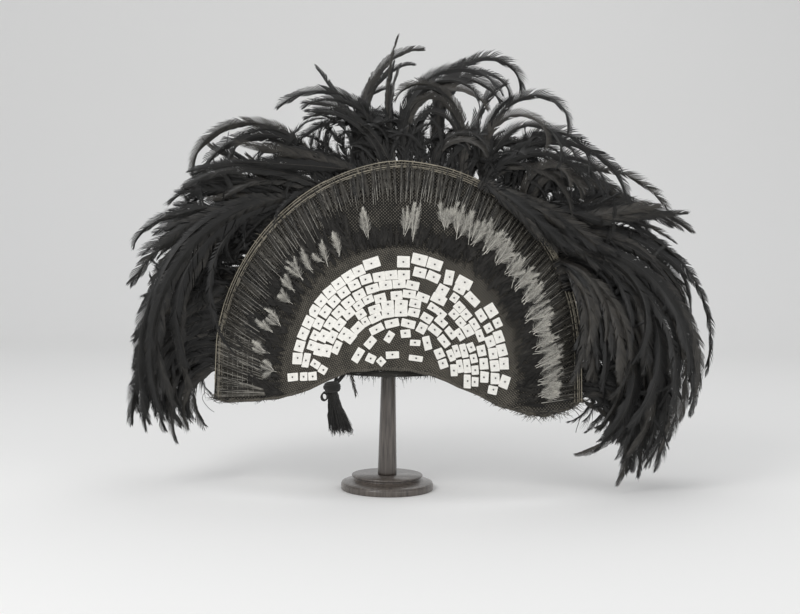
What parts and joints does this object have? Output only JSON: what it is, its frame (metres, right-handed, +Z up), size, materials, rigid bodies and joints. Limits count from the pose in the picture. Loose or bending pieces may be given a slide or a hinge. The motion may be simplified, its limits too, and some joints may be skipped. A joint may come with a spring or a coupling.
{
  "type": "feathered headdress on a wooden stand",
  "caption": "Dished fan headdress with a woven cap, shell plaques, down and quill bands and long black plumes round its rim, held up on a turned wooden stand.",
  "frame": {"origin": "centre of the stand foot's underside, where the stand rests on a table", "axes": "+Z up along the stand's post, the fan's front faces -Y, +X to the right of someone standing in front of it"},
  "size_m": [0.8328, 0.2096, 0.635],
  "materials": {
    "turned_wood": "satin",
    "woven_cap": "matte",
    "knotted_fibre": "matte",
    "short_feather": "matte",
    "bound_quill": "matte",
    "pale_down": "matte",
    "split_cane": "satin",
    "black_feather": "satin",
    "white_shell": "satin",
    "tassel_fibre": "matte"
  },
  "bodies": {
    "root": {"stand_foot": "turned_wood", "stand_post": "turned_wood", "cap_crown": "woven_cap", "cap_band": "woven_cap", "fan_panel": "knotted_fibre", "short_feathers": "short_feather", "quill_band": "bound_quill", "down_left": "pale_down", "down_top": "pale_down", "down_right": "pale_down", "cane_hoop_outer": "split_cane", "cane_hoop_inner": "split_cane", "plume_left": "black_feather", "plume_crest_left": "black_feather", "plume_crest": "black_feather", "plume_crest_right": "black_feather", "plume_right": "black_feather", "plume_front_upper": "black_feather", "plume_front_low": "black_feather", "plaque_01": "white_shell", "plaque_02": "white_shell", "plaque_03": "white_shell", "plaque_04": "white_shell", "plaque_05": "white_shell", "plaque_06": "white_shell", "plaque_07": "white_shell", "plaque_08": "white_shell", "plaque_09": "white_shell", "plaque_10": "white_shell", "plaque_11": "white_shell", "plaque_12": "white_shell", "plaque_13": "white_shell", "plaque_14": "white_shell", "plaque_15": "white_shell", "plaque_16": "white_shell", "plaque_17": "white_shell", "plaque_18": "white_shell", "plaque_19": "white_shell", "plaque_20": "white_shell", "plaque_21": "white_shell", "plaque_22": "white_shell", "plaque_23": "white_shell", "plaque_24": "white_shell", "plaque_25": "white_shell", "plaque_26": "white_shell", "plaque_row_edge": "white_shell", "plaque_row_second_left": "white_shell", "plaque_row_second_top": "white_shell", "plaque_row_second_right": "white_shell", "plaque_row_third_left": "white_shell", "plaque_row_third_right": "white_shell", "plaque_row_fourth_left": "white_shell", "plaque_row_fourth_right": "white_shell", "plaque_row_fifth": "white_shell", "plaque_row_sixth": "white_shell", "plaque_row_inner": "white_shell", "tassel": "tassel_fibre", "loose_feather": "short_feather"}
  },
  "joints": []
}
